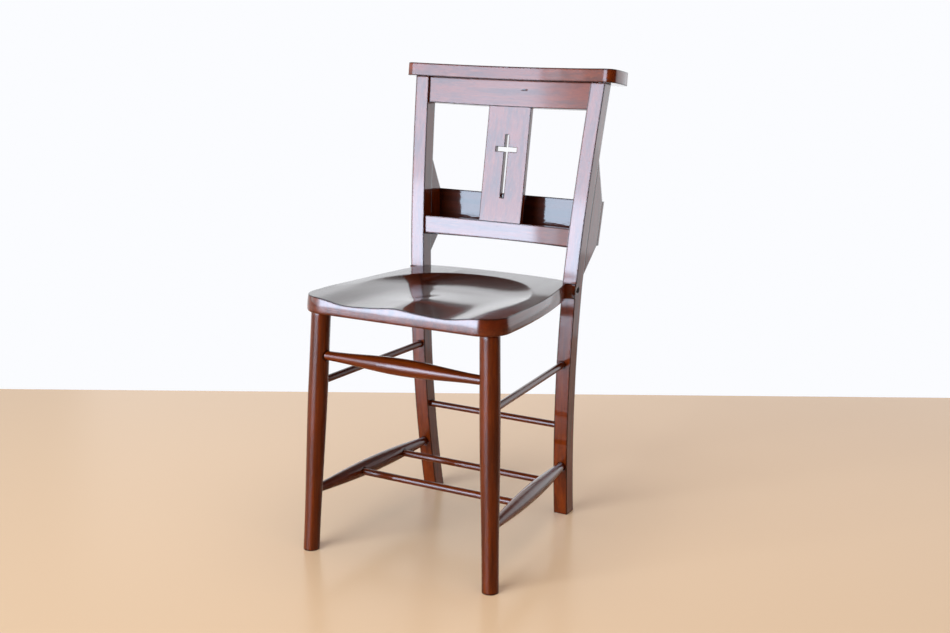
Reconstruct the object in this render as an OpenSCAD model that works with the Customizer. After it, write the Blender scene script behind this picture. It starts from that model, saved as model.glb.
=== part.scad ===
// Choir chair: a saddled seat, a curved back, a splat with a cut-out Latin cross and a book box behind.
// Millimetres. X runs to the right of someone who faces the chair, Y to the rear and Z up from the floor.
// Lengths named "back" are measured to the rear from the seat's front edge.

/* [Seat] */
// Height of the seat top at its front edge
seat_height = 452; // [440:1:470]
// Thickness of the seat board
seat_thickness = 28; // [26:1:32]
// Greatest width of the seat
seat_width = 374; // [366:1:384]
// Depth of the seat from its front edge to the middle of its rear edge
seat_depth = 365; // [362:1:368]
// Fall of the seat to the rear in degrees
seat_fall = 0.9; // [0.5:0.1:1.5]
// Radius of the seat's front corners
seat_corner_radius = 45; // [35:1:55]
// Radius of the long curve of each side of the seat
seat_side_radius = 1250; // [1150:10:1400]
// Radius of the curve of the rear edge
seat_rear_radius = 900; // [800:10:1200]
// Radius of the hollow from the side of the seat to the flare at the post
seat_flare_radius = 10; // [8:0.5:11]
// Thickness of the flare at the post's outer corner
seat_flare_end = 2.5; // [2:0.25:4]
// Depth of each thigh hollow at the front edge
thigh_depth = 8; // [4:0.5:9]
// Radius of each thigh hollow
thigh_radius = 280; // [240:10:320]
// Distance of each thigh hollow from the middle
thigh_offset = 80; // [75:1:85]
// Length over which a thigh hollow runs out to the rear
thigh_run = 190; // [150:5:230]
// Depth of the bowl in the middle of the seat
bowl_depth = 8; // [4:0.5:9]
// Radius of the bowl
bowl_radius = 800; // [700:50:1200]
// Distance of the bowl's middle from the front edge
bowl_back = 204; // [190:2:210]
// Radius of the hollow from side to side
bowl_across_radius = 1150; // [1000:50:1600]

/* [Front legs] */
// Diameter of a front leg at the floor
leg_foot_diameter = 28; // [26:0.5:30]
// Greatest diameter of a front leg
leg_swell_diameter = 33.6; // [32:0.2:36]
// Diameter of the rounded shoulder under the seat
leg_shoulder_diameter = 29; // [27:0.5:31]
// Spacing of the front feet, centre to centre
leg_foot_spacing = 349.6; // [340:0.2:356]
// Spacing of the legs at the seat, centre to centre
leg_top_spacing = 316.8; // [310:0.2:324]
// Distance of the foot's centre behind the seat's front edge
leg_foot_back = 10.2; // [6:0.2:14]
// Distance of the leg's centre behind the front edge at the seat
leg_top_back = 30.4; // [28:0.2:36]
// Diameter of the tenon in the seat
leg_tenon_diameter = 22; // [20:1:24]
// Length of the tenon in the seat
leg_tenon_length = 19; // [15:1:19]

/* [Rear posts] */
// Thickness of a post seen from the front
post_thickness = 26.5; // [24:0.5:30]
// Depth of a post seen from the side
post_depth = 28; // [26:1:32]
// Width over the posts at the floor
post_foot_width = 305.8; // [300:0.2:312]
// Width over the posts where they bend at the seat
post_seat_width = 336.8; // [333:0.2:340]
// Height at which the posts bend outward
post_bend_height = 441; // [430:1:446]
// Width over the posts at the reference height of the top
post_top_width = 377.6; // [370:0.2:384]
// Height of the upper reference width
post_top_height = 800; // [780:1:820]
// Height at which the posts' front faces stand farthest forward
post_belly_height = 310; // [300:1:320]
// Distance of that place behind the seat's front edge
post_belly_back = 334.5; // [332:0.5:337]
// Radius of the front face of the lower curve
post_lower_radius = 1722; // [1600:2:1850]
// Radius of the front face of the upper curve
post_upper_radius = 4000; // [3400:50:4600]
// Angle at which the lower curve hands over to the upper curve, in degrees
post_change_angle = 8.35; // [7.5:0.05:9]

/* [Back] */
// Height from the crest rail's lower edge to the cap's upper edge
crest_drop = 70.9; // [61:1:81]
// Rake of the crest rail in degrees
crest_rake = 10.8; // [10:0.1:12]
// Height of the lower rail's lower edge
lower_rail_bottom = 508; // [500:1:514]
// Height of the lower rail's face
lower_rail_face = 31.8; // [28:0.2:36]
// Rake of the lower rail in degrees
lower_rail_rake = 6.6; // [6:0.1:8]
// Distance of the rails' ends behind the posts' front faces
rail_setback = 5; // [4:0.5:6]
// Thickness of the curved rails
rail_thickness = 19; // [17:0.5:20]
// Radius of the rails' hollow front faces
rail_radius = 860; // [800:10:950]
// Width of the splat
splat_width = 84; // [76:1:92]
// Thickness of the splat
splat_thickness = 10; // [8:0.5:11]
// Distance of the splat behind the rails' front faces
splat_setback = 3.5; // [3:0.5:5]
// Height of the cut-out cross
cross_height = 114.5; // [100:0.5:125]
// Width of the cross
cross_width = 42.6; // [34:0.2:50]
// Width of the upright of the cross
cross_upright = 7.8; // [6:0.2:10]
// Height of the arms of the cross
cross_arm = 8.4; // [6:0.2:10]
// Distance of the foot of the cross above the lower rail
cross_rise = 41; // [30:1:55]
// Distance of the arms' middle above the foot of the cross
cross_arm_rise = 88; // [75:1:92]

/* [Top cap] */
// Length of the cap board
cap_length = 417; // [400:1:420]
// Depth of the cap board
cap_depth = 90; // [84:1:96]
// Thickness of the cap board
cap_thickness = 23.1; // [20:0.5:25]
// Fall of the cap board to the rear in degrees
cap_fall = 8; // [7:0.1:9]
// Height of the cap's top at the front of its ends
cap_height = 816.9; // [805:1:830]
// Distance of the cap's front behind the seat's front edge
cap_back = 381.6; // [378:0.2:384]
// Depth of the hollow in the cap's front edge
cap_hollow = 29; // [24:1:32]
// Radius of the cap's front corners
cap_front_corner = 16; // [10:1:18]
// Radius of the cap's rear corners
cap_rear_corner = 22; // [18:1:30]
// Radius of the cap's rounded ends
cap_end_radius = 200; // [150:10:400]

/* [Book box] */
// Thickness of the box sides
box_side_thickness = 20; // [18:0.5:22]
// Height from the upper ends of the box sides to the cap's upper edge
box_side_drop = 158.9; // [146:1:176]
// Height of the lower point of the box sides on the posts
box_side_foot = 457; // [455:1:465]
// Height of the box's upper rear corner
box_rear_top = 580.5; // [570:0.5:590]
// Height of the box's lower rear corner
box_rear_bottom = 501.5; // [496:0.5:506]
// Distance of the upper rear corner of the sides from the front edge of the seat
box_rear_back = 428; // [424:0.5:434]
// Rake of the back panel in degrees
box_rake = 6.9; // [6:0.1:8]
// Thickness of the back panel
box_panel_thickness = 9; // [8:0.5:10]
// Thickness of the box floor
box_floor_thickness = 10; // [8:0.5:12]
// Depth of the grooves in the sides that hold the floor
box_groove_depth = 6; // [4:0.5:8]

/* [Stretchers] */
// Height of the front stretcher at the legs
front_stretcher_height = 347.3; // [335:0.1:360]
// Diameter of the front stretcher at its ends
front_stretcher_end = 15.8; // [14:0.2:18]
// Diameter of the front stretcher in the middle
front_stretcher_swell = 29; // [24:0.5:32]
// Fullness of the front stretcher's swell, from 0 to 1
front_stretcher_fullness = 0.2; // [0:0.1:1]
// Height of the upper side stretchers at the front legs
upper_side_front_height = 298.7; // [290:0.1:305]
// Height of the upper side stretchers at the posts
upper_side_rear_height = 296; // [288:0.1:300]
// Spacing of the upper side stretchers at the posts, centre to centre
upper_side_spacing = 294; // [288:0.5:298]
// Diameter of the upper side stretchers
upper_side_diameter = 12.6; // [11:0.2:14]
// Height of the lower side stretchers at the front legs
lower_side_front_height = 106; // [98:0.1:112]
// Height of the lower side stretchers at the posts
lower_side_rear_height = 99; // [92:0.1:104]
// Spacing of the lower side stretchers at the posts, centre to centre
lower_side_spacing = 290; // [284:0.5:292]
// Diameter of the lower side stretchers at their ends
lower_side_end = 15.4; // [14:0.2:17]
// Greatest diameter of the lower side stretchers
lower_side_swell = 28.5; // [26:0.5:30]
// Share of the lower side stretcher's length at which the front cross stretcher meets it
cross_front_share = 0.375; // [0.34:0.005:0.41]
// Share of the lower side stretcher's length at which the rear cross stretcher meets it
cross_rear_share = 0.75; // [0.7:0.005:0.76]
// Fullness of the lower side stretchers' swell, from 0 to 1
lower_side_fullness = 1; // [0:0.1:1]
// Diameter of the cross stretchers
cross_stretcher_diameter = 12.6; // [11:0.2:13]
// Height of the rear stretcher
rear_stretcher_height = 175.6; // [165:0.1:190]
// Diameter of the rear stretcher
rear_stretcher_diameter = 12.2; // [11:0.2:14]

/* [Joints] */
// Depth of the stretchers' ends in the front legs
leg_socket_depth = 18; // [15:0.5:20]
// Depth of the stretchers' ends in the posts
post_socket_depth = 16; // [12:0.5:18]
// Depth of the cross stretchers' ends in the side stretchers
cross_socket_depth = 10; // [8:0.5:11]
// Clearance around a round end or dowel in its hole
glue_gap = 0.1; // [0.05:0.05:0.3]
// Free depth behind each end in its hole
end_gap = 0.6; // [0.3:0.1:1]
// Length of the rails' tenons in the posts
rail_tenon_length = 15; // [12:0.5:18]
// Thickness of the rails' tenons
rail_tenon_thickness = 8; // [6:0.5:9]
// Height cut away above and below each rail tenon
rail_tenon_step = 6; // [5:0.5:7]
// Depth of the splat's ends in the rails
splat_tenon_length = 9; // [7:0.5:10]
// Diameter of the hidden dowels
dowel_diameter = 8; // [6:0.5:9]
// Depth of a dowel in each of the two pieces it joins
dowel_depth = 14; // [12:0.5:15]
// Diameter of the screws that hold the seat between the posts
screw_diameter = 5; // [4:0.5:6]
// Length of those screws
screw_length = 50; // [44:1:56]
// Diameter of their heads
screw_head_diameter = 9; // [8:0.5:9.5]
// Thickness of their heads
screw_head_height = 3; // [2.5:0.5:4]
// Diameter of the black plugs over the screws
plug_diameter = 10.4; // [10:0.2:12]
// Length of the plugs
plug_length = 5; // [4:0.5:6]
// Distance of the screws behind the posts' front faces
screw_back = 9; // [8:0.5:10]

/* [Hidden] */

$fn = 96;
// Facets drawn on the very large circles
large_facets = 720;
// Steps drawn along a turned profile
turning_steps = 14;
// A length beyond the whole chair, for cutting bodies
far = 2 * cap_height;
// Length by which a cutting body passes the piece that it cuts
over = seat_thickness / 2;
// Shares of a leg's length at which its swell starts and over which it grows
leg_swell_start_share = 0.05;
leg_swell_share = 0.64;
// Turn of a leg about its axis, which keeps the turning's seam off the ends of the foot
leg_seam_turn = 45;
// Shares that shape the rounded shoulder under the seat
leg_neck_share = 0.985;
leg_round_share = 0.7;
// Shares of the box sides' height on the posts at which their dowels sit
box_side_dowel_shares = [0.18, 0.7];
// Shares of the back panel's height at which its dowels sit,
// and the share of its thickness that they enter
box_panel_dowel_shares = [0.3, 0.78];
box_panel_dowel_depth_share = 0.6;

// Colours of the lacquered wood, the steel and the plug
wood_color = [0.30, 0.12, 0.08];
steel_color = [0.70, 0.70, 0.72];
plug_color = [0.04, 0.03, 0.03];

// Centres of the two circles that shape the posts' front faces, as distance back and height
lower_centre = [post_belly_back + post_lower_radius, post_belly_height];
post_change_way = [cos(post_change_angle), -sin(post_change_angle)];
upper_centre = lower_centre + (post_upper_radius - post_lower_radius) * post_change_way;
post_change_height = post_belly_height + post_lower_radius * sin(post_change_angle);

// Distance back of the posts' front faces at height z
function post_front(z) = z < post_change_height
    ? lower_centre[0] - sqrt(pow(post_lower_radius, 2) - pow(z - lower_centre[1], 2))
    : upper_centre[0] - sqrt(pow(post_upper_radius, 2) - pow(z - upper_centre[1], 2));

// Distance of a post's outer face from the middle of the chair at height z
lower_lean = (post_seat_width - post_foot_width) / 2 / post_bend_height;
upper_lean = (post_top_width - post_seat_width) / 2 / (post_top_height - post_bend_height);
function post_outer(z) = z < post_bend_height
    ? post_foot_width / 2 + lower_lean * z
    : post_seat_width / 2 + upper_lean * (z - post_bend_height);
function post_middle(z) = post_outer(z) - post_thickness / 2;

// Height to which the posts are drawn before the cap's underside cuts them
post_draw_height = cap_height;
// Heights at which the posts' outer and inner faces bend, upward and downward
post_heights = [0, post_bend_height, post_draw_height];
post_heights_down = [post_draw_height, post_bend_height, 0];

// Middle of a front leg at the floor and at the seat's underside
leg_top_height = seat_height - seat_thickness - leg_top_back * tan(seat_fall);
leg_foot = [leg_foot_spacing / 2, leg_foot_back, 0];
leg_top = [leg_top_spacing / 2, leg_top_back, leg_top_height];
leg_length = norm(leg_top - leg_foot);

// Point on a front leg's middle line at height z
function leg_point(z) = leg_foot + (leg_top - leg_foot) * z / leg_top_height;

// Stretcher ends: a point on a leg's middle line and a point on a post's front face
upper_side_front = leg_point(upper_side_front_height);
upper_side_rear = [upper_side_spacing / 2, post_front(upper_side_rear_height), upper_side_rear_height];
lower_side_front = leg_point(lower_side_front_height);
lower_side_rear = [lower_side_spacing / 2, post_front(lower_side_rear_height), lower_side_rear_height];
front_stretcher_right = leg_point(front_stretcher_height);
rear_stretcher_right = [post_outer(rear_stretcher_height) - post_thickness,
    post_front(rear_stretcher_height) + post_depth / 2, rear_stretcher_height];
function lower_side_point(share) = lower_side_front + (lower_side_rear - lower_side_front) * share;

// The chair stands with the middle of its outline over the origin
foot_front = leg_foot_back - leg_foot_diameter / 2;
cap_rear = cap_back + cap_depth * cos(cap_fall);
origin_back = (foot_front + cap_rear) / 2;

// Centre of the circle that hollows the cap's front edge, in the cap's own plane
cap_half = cap_length / 2;
cap_hollow_radius = (pow(cap_half, 2) + pow(cap_hollow, 2)) / 2 / cap_hollow;
cap_hollow_centre = [0, cap_hollow - cap_hollow_radius];
cap_end_centre = [cap_half - cap_end_radius, cap_depth / 2];
// Length by which the corner circles pass the cap's edges, so that they cross cleanly
cap_corner_overlap = cap_front_corner / 2800;

// Where the rails stand: their lower edges, rakes and faces
crest_bottom = cap_height - crest_drop;
crest_face = (cap_height - cap_thickness - crest_bottom) / cos(crest_rake) + over;
crest_tenon_height = (cap_height - cap_thickness - crest_bottom) / cos(crest_rake) - rail_tenon_step;
crest_half = post_outer(crest_bottom) - post_thickness;
lower_rail_half = post_outer(lower_rail_bottom) - post_thickness;

// Front faces of the rails in their middles, and the splat's line between them
function bow(half) = rail_radius - sqrt(pow(rail_radius, 2) - pow(half, 2));
lower_rail_top = lower_rail_bottom + lower_rail_face * cos(lower_rail_rake);
splat_foot_back = post_front(lower_rail_bottom)
    + (rail_setback + bow(lower_rail_half)) * cos(lower_rail_rake)
    + lower_rail_face * sin(lower_rail_rake) + splat_setback;
splat_head_back = post_front(crest_bottom) + (rail_setback + bow(crest_half)) * cos(crest_rake)
    + splat_setback;
splat_rake = atan2(splat_head_back - splat_foot_back, crest_bottom - lower_rail_top);
splat_open = (crest_bottom - lower_rail_top) / cos(splat_rake);

// Screws that hold the seat: their height is the middle of the seat's rear edge
screw_height = seat_height - seat_thickness / 2 - post_belly_back * tan(seat_fall);
screw_head_place = post_outer(screw_height) - plug_length - end_gap;

// Where the box stands
box_side_top = cap_height - box_side_drop;
box_rear_foot_back = box_rear_back - (box_rear_top - box_rear_bottom) * tan(box_rake);
box_floor_top = box_rear_bottom + box_floor_thickness + end_gap;

// Draws a shape of the right side again on the left
module other_side() {
    mirror([1, 0, 0])
        children();
}

// Puts the chair's pieces over the origin
module place() {
    translate([0, -origin_back, 0])
        children();
}

// Draws children() with their Z axis along the line from a to b
module along(a, b) {
    v = b - a;
    translate(a)
        rotate([0, acos(v[2] / norm(v)), atan2(v[1], v[0])])
            children();
}

// A profile in the Y and Z plane, thickened along X from one place to another
module side_slab(from, to) {
    translate([from, 0, 0])
        rotate([90, 0, 90])
            linear_extrude(height = to - from)
                children();
}

// Smooth rise from 0 to 1 as s goes from 0 to 1: hollow at the start, or round with fullness 1
function ease(s, fullness = 0) =
    (1 - fullness) * (1 - cos(180 * s)) / 2 + fullness * sin(90 * s);

// A turned rod that swells from its ends to its middle; its plain ends go into the sockets
module swelled_rod(length, plain_start, plain_end, end_diameter, swell_diameter, fullness) {
    span = length - plain_start - plain_end;
    points = [for (i = [0 : turning_steps])
        let (t = i / turning_steps, s = 1 - abs(2 * t - 1))
        [(end_diameter + (swell_diameter - end_diameter) * ease(s, fullness)) / 2, plain_start + span * t]];
    rotate_extrude()
        polygon(concat([[0, 0], [end_diameter / 2, 0]], points,
            [[end_diameter / 2, length], [0, length]]));
}

// The seat's underside and all that lies above it, as a cutting body
module above_underside() {
    translate([0, 0, seat_height - seat_thickness])
        rotate([-seat_fall, 0, 0])
            translate([-far / 2, -far / 2, 0])
                cube([far, far, far]);
}

// The cap's underside and all that lies above it
module above_cap_underside() {
    cap_frame()
        translate([-far / 2, -far / 2, -cap_thickness])
            cube([far, far, far]);
}

// The cap's own frame: its top at the front of its ends, with the board falling to the rear
module cap_frame() {
    translate([0, cap_back, cap_height])
        rotate([-cap_fall, 0, 0])
            children();
}

// Side profile of a post: two curves that run into each other
module post_side_profile() {
    intersection() {
        ring_part(lower_centre, post_lower_radius, -1);
        square([far, post_draw_height]);
    }
    intersection() {
        ring_part(upper_centre, post_upper_radius, 1);
        square([far, post_draw_height]);
    }
}

// The front arc of a ring, below (side -1) or above (side 1) the line at the change of curve
module ring_part(centre, radius, side) {
    intersection() {
        translate(centre)
            difference() {
                circle(r = radius, $fn = large_facets);
                circle(r = radius - post_depth, $fn = large_facets);
            }
        translate(lower_centre)
            rotate(180 - post_change_angle)
                translate([0, side > 0 ? -far : 0])
                    square([2 * far, far]);
    }
}

// Front profile of the right post: it leans out, and more so above the seat
module post_front_profile() {
    polygon(concat(
        [for (z = post_heights) [post_outer(z), z]],
        [for (z = post_heights_down) [post_outer(z) - post_thickness, z]]));
}

// The right post before its joints are cut
module post_blank() {
    intersection() {
        side_slab(post_foot_width / 4, post_top_width)
            post_side_profile();
        translate([0, far, 0])
            rotate([90, 0, 0])
                linear_extrude(height = 2 * far)
                    post_front_profile();
    }
}

// Room for the right post in the seat: all that lies behind its front face and outside its inner face
module post_room() {
    difference() {
        side_slab(0, far)
            translate(lower_centre)
                circle(r = post_lower_radius, $fn = large_facets);
        between_posts(post_thickness);
    }
}

// Everything between planes that lie inset mm inside the posts' outer faces
module between_posts(inset) {
    translate([0, far, 0])
        rotate([90, 0, 0])
            linear_extrude(height = 2 * far)
                polygon(concat(
                    [for (z = post_heights) [post_outer(z) - inset, z]],
                    [for (z = post_heights_down) [inset - post_outer(z), z]]));
}

// A post's cuts: stretcher sockets, rail mortises, dowel holes, the screw hole and the cap's underside
module post_cut() {
    difference() {
        post_blank();
        side_socket(upper_side_front, upper_side_rear, upper_side_diameter);
        side_socket(lower_side_front, lower_side_rear, lower_side_end);
        rear_stretcher_socket();
        crest_tenons(glue_gap);
        lower_rail_tenons(glue_gap);
        screw_holes();
        cap_dowel_set(glue_gap);
        box_side_dowel_set(glue_gap);
        above_cap_underside();
    }
}

// Socket of a side stretcher in a post's front face
module side_socket(front, rear, diameter) {
    along(front, rear)
        translate([0, 0, norm(rear - front) - over])
            cylinder(d = diameter + 2 * glue_gap, h = over + post_socket_depth + end_gap);
}

// Socket of a side stretcher in the rear of a front leg
module leg_side_socket(front, rear, diameter) {
    along(front, rear)
        translate([0, 0, leg_swell_diameter / 2 - leg_socket_depth - end_gap])
            cylinder(d = diameter + 2 * glue_gap, h = leg_socket_depth + end_gap + over);
}

// Socket of the rear stretcher in a post's inner face
module rear_stretcher_socket() {
    translate(rear_stretcher_right + [-over, 0, 0])
        rotate([0, 90, 0])
            cylinder(d = rear_stretcher_diameter + 2 * glue_gap, h = over + post_socket_depth + end_gap);
}

// Socket of the front stretcher in a leg's inner side
module front_stretcher_socket() {
    translate(front_stretcher_right + [-leg_swell_diameter / 2 - over, 0, 0])
        rotate([0, 90, 0])
            cylinder(d = front_stretcher_end + 2 * glue_gap, h = over + leg_socket_depth + end_gap);
}

// The right front leg, turned, with its tenon and its sockets
module leg_body() {
    bottom = -over;
    shoulder = leg_shoulder_diameter / 2;
    foot = leg_foot_diameter / 2;
    swell = leg_swell_diameter / 2;
    neck = swell * leg_neck_share;
    step = swell - shoulder;
    points = [for (i = [0 : turning_steps]) let (t = i / turning_steps)
        [foot + (swell - foot) * ease(t), leg_length * (leg_swell_start_share + leg_swell_share * t)]];
    difference() {
        union() {
            difference() {
                along(leg_foot, leg_top)
                    rotate(leg_seam_turn)
                        rotate_extrude()
                            polygon(concat([[0, bottom], [foot, bottom]], points,
                                [[neck, leg_length - 2 * step],
                                 [shoulder + (neck - shoulder) * leg_round_share, leg_length - step],
                                 [shoulder, leg_length + over], [0, leg_length + over]]));
                above_underside();
            }
            along(leg_foot, leg_top)
                translate([0, 0, leg_length - over])
                    cylinder(d = leg_tenon_diameter, h = over + leg_tenon_length);
        }
        translate([-far / 2, -far / 2, -far])
            cube([far, far, far]);
        front_stretcher_socket();
        leg_side_socket(upper_side_front, upper_side_rear, upper_side_diameter);
        leg_side_socket(lower_side_front, lower_side_rear, lower_side_end);
    }
}

// A side stretcher of the right side, from inside the leg to inside the post
module side_rod(front, rear, end_diameter, swell_diameter, fullness) {
    start = leg_swell_diameter / 2 - leg_socket_depth;
    length = norm(rear - front) - start + post_socket_depth;
    along(front, rear)
        translate([0, 0, start])
            swelled_rod(length, leg_socket_depth, post_socket_depth,
                end_diameter, swell_diameter, fullness);
}

// Sockets of both cross stretchers in the right lower side stretcher
module cross_sockets() {
    depth = over + cross_socket_depth + end_gap;
    for (share = [cross_front_share, cross_rear_share])
        translate(lower_side_point(share) - [lower_side_swell / 2 + over, 0, 0])
            rotate([0, 90, 0])
                cylinder(d = cross_stretcher_diameter + 2 * glue_gap, h = depth);
}

// The right lower side stretcher
module lower_side() {
    difference() {
        side_rod(lower_side_front, lower_side_rear,
            lower_side_end, lower_side_swell, lower_side_fullness);
        cross_sockets();
    }
}

// A cross stretcher between the points of the lower side stretchers at the given share of their length
module cross_rod(share) {
    p = lower_side_point(share);
    half = p[0] - lower_side_swell / 2 + cross_socket_depth;
    translate([-half, p[1], p[2]])
        rotate([0, 90, 0])
            cylinder(d = cross_stretcher_diameter, h = 2 * half);
}

// Outline of the seat in its own plane, with its front edge along X
module seat_outline() {
    half = seat_width / 2;
    corner_x = half - seat_corner_radius;
    for (side = [-1, 1])
        translate([side * corner_x, seat_corner_radius])
            circle(r = seat_corner_radius);
    translate([-corner_x, 0])
        square([2 * corner_x, seat_corner_radius + over]);
    intersection() {
        translate([-half, seat_corner_radius])
            square([2 * half, seat_depth]);
        translate([half - seat_side_radius, seat_corner_radius])
            circle(r = seat_side_radius, $fn = large_facets);
        translate([seat_side_radius - half, seat_corner_radius])
            circle(r = seat_side_radius, $fn = large_facets);
        translate([0, seat_depth - seat_rear_radius])
            circle(r = seat_rear_radius, $fn = large_facets);
    }
    for (side = [-1, 1])
        on_side(side)
            seat_flare();
}

// Draws a flat shape on the right, or on the left if side is below 0
module on_side(side) {
    if (side < 0)
        mirror([1, 0])
            children();
    else
        children();
}

// The flare in front of a post: a corner block with a round hollow
module seat_flare() {
    outer = post_outer(seat_height);
    front = post_front(seat_height - seat_thickness / 2);
    hollow_back = front - seat_flare_end - seat_flare_radius;
    side_fall = seat_side_radius
        - sqrt(pow(seat_side_radius, 2) - pow(hollow_back - seat_corner_radius, 2));
    hollow_x = seat_width / 2 - side_fall + seat_flare_radius;
    difference() {
        translate([outer - post_thickness, hollow_back])
            square([post_thickness, front - hollow_back + post_depth / 2]);
        translate([hollow_x, hollow_back])
            circle(r = seat_flare_radius);
        translate([hollow_x, hollow_back - seat_flare_radius])
            square([2 * seat_flare_radius, 2 * seat_flare_radius]);
    }
}

// The shapes that hollow the seat's top: a bowl and two thigh hollows
module seat_hollows() {
    translate([0, bowl_back, bowl_radius - bowl_depth])
        rotate([0, -90, 0])
            rotate_extrude($fn = large_facets)
                intersection() {
                    translate([bowl_radius - bowl_across_radius, 0])
                        circle(r = bowl_across_radius, $fn = large_facets);
                    translate([0, -bowl_across_radius])
                        square(2 * bowl_across_radius);
                }
    for (side = [-1, 1])
        translate([side * thigh_offset, 0, -thigh_depth])
            rotate([atan2(thigh_depth, thigh_run) - 90, 0, 0])
                translate([0, -thigh_radius, -far / 2])
                    cylinder(r = thigh_radius, h = far, $fn = large_facets);
}

// The saddled seat before the holes for legs and screws
module seat_board() {
    translate([0, 0, seat_height])
        rotate([-seat_fall, 0, 0])
            difference() {
                translate([0, 0, -seat_thickness])
                    linear_extrude(height = seat_thickness)
                        seat_outline();
                seat_hollows();
            }
}

// The sockets of both front legs in the seat
module leg_tenon_holes() {
    along(leg_foot, leg_top)
        translate([0, 0, leg_length - over])
            cylinder(d = leg_tenon_diameter + 2 * glue_gap, h = over + leg_tenon_length + end_gap);
}

// One screw of the right side; gap widens it into its hole
module screw(gap) {
    place_back = post_front(screw_height) + screw_back;
    translate([screw_head_place - screw_length, place_back, screw_height])
        rotate([0, 90, 0]) {
            cylinder(d = screw_diameter + 2 * gap, h = screw_length);
            translate([0, 0, screw_length - screw_head_height])
                cylinder(d = screw_head_diameter + 2 * gap, h = screw_head_height);
        }
}

// The plug over the right screw; gap widens it into its hole
module screw_plug(gap) {
    place_back = post_front(screw_height) + screw_back;
    translate([post_outer(screw_height) - plug_length - gap, place_back, screw_height])
        rotate([0, 90, 0])
            cylinder(d = plug_diameter + 2 * gap, h = plug_length + gap);
}

// What a screw and its plug need in the post: a shank hole, a head seat and a counterbore
module screw_holes() {
    place_back = post_front(screw_height) + screw_back;
    screw(glue_gap);
    translate([screw_head_place - glue_gap, place_back, screw_height])
        rotate([0, 90, 0])
            cylinder(d = plug_diameter + 2 * glue_gap, h = plug_length + over);
}

// The raked frame of a rail: its lower edge on the plane of the posts' front faces
module rail_frame(bottom, rake) {
    translate([0, post_front(bottom), bottom])
        rotate([-rake, 0, 0])
            children();
}

// A curved rail of the given height, drawn past both posts
module rail_blank(bottom, rake, half, height) {
    rail_frame(bottom, rake)
        translate([0, rail_setback + bow(half) - rail_radius, 0])
            intersection() {
                difference() {
                    cylinder(r = rail_radius + rail_thickness, h = height, $fn = large_facets);
                    translate([0, 0, -over])
                        cylinder(r = rail_radius, h = height + 2 * over, $fn = large_facets);
                }
                translate([-post_top_width / 2, 0, -over])
                    cube([post_top_width, 2 * rail_radius, height + 2 * over]);
            }
}

// The bar from which both tenons of a rail are left; gap widens it into the mortises
module rail_tenon_bar(bottom, rake, height, gap) {
    thickness = rail_tenon_thickness + 2 * gap;
    face = height - 2 * rail_tenon_step + 2 * gap;
    front = rail_setback + (rail_thickness - thickness) / 2;
    intersection() {
        rail_frame(bottom, rake)
            translate([-post_top_width / 2, front, rail_tenon_step - gap])
                cube([post_top_width, thickness, face]);
        between_posts(post_thickness - rail_tenon_length - (gap > 0 ? end_gap : 0));
    }
}

// Both tenons of a rail, without the part between the posts
module rail_tenons(bottom, rake, height, gap) {
    difference() {
        rail_tenon_bar(bottom, rake, height, gap);
        between_posts(post_thickness + over);
    }
}

// Tenons of the crest rail; gap widens them into their mortises
module crest_tenons(gap) {
    rail_tenons(crest_bottom, crest_rake, crest_tenon_height, gap);
}

// Tenons of the lower back rail; gap widens them into their mortises
module lower_rail_tenons(gap) {
    rail_tenons(lower_rail_bottom, lower_rail_rake, lower_rail_face, gap);
}

// A rail between the posts with its tenons and the splat's mortise
module rail(bottom, rake, half, height) {
    difference() {
        intersection() {
            rail_blank(bottom, rake, half, height);
            between_posts(post_thickness);
        }
        splat_board(glue_gap);
    }
}

// The splat's frame: the middle of its foot on the lower rail
module splat_frame() {
    translate([0, splat_foot_back, lower_rail_top])
        rotate([-splat_rake, 0, 0])
            children();
}

// The splat's board with both ends in the rails; gap widens it into the mortises
module splat_board(gap) {
    tenon = splat_tenon_length + (gap > 0 ? end_gap : 0);
    splat_frame()
        translate([-splat_width / 2 - gap, -gap, -tenon])
            cube([splat_width + 2 * gap, splat_thickness + 2 * gap, splat_open + 2 * tenon]);
}

// The Latin cross, drawn through the splat
module cross_cut() {
    splat_frame() {
        translate([-cross_upright / 2, -over, cross_rise])
            cube([cross_upright, splat_thickness + 2 * over, cross_height]);
        translate([-cross_width / 2, -over, cross_rise + cross_arm_rise - cross_arm / 2])
            cube([cross_width, splat_thickness + 2 * over, cross_arm]);
    }
}

// Outline of the cap in its own plane
module cap_outline() {
    difference() {
        intersection() {
            translate([-cap_half, 0])
                square([cap_length, cap_depth]);
            for (side = [-1, 1])
                translate([side * cap_end_centre[0], cap_end_centre[1]])
                    circle(r = cap_end_radius, $fn = large_facets);
        }
        translate(cap_hollow_centre)
            circle(r = cap_hollow_radius, $fn = large_facets);
        for (side = [-1, 1])
            on_side(side) {
                cap_front_corner_cut();
                cap_rear_corner_cut();
            }
    }
}

// The point on the right at which two circles round the given centres meet
function circles_meet(first, first_radius, second, second_radius) =
    let (line = second - first, gap = norm(line),
        along = (pow(gap, 2) + pow(first_radius, 2) - pow(second_radius, 2)) / 2 / gap,
        aside = sqrt(pow(first_radius, 2) - pow(along, 2)))
    first + (line * along + [line[1], -line[0]] * aside) / gap;

// What a rounded corner takes away: all beyond its circle between the directions of both edges it touches
module corner_cut(centre, radius, first, second) {
    difference() {
        polygon([centre, centre + cap_depth * first, centre + cap_depth * (first + second),
            centre + cap_depth * second]);
        translate(centre)
            circle(r = radius + cap_corner_overlap);
    }
}

// What the rounded front corner takes away
module cap_front_corner_cut() {
    centre = circles_meet(cap_hollow_centre, cap_hollow_radius + cap_front_corner,
        cap_end_centre, cap_end_radius - cap_front_corner);
    to_hollow = cap_hollow_centre - centre;
    to_end = centre - cap_end_centre;
    corner_cut(centre, cap_front_corner, to_hollow / norm(to_hollow), to_end / norm(to_end));
}

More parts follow.
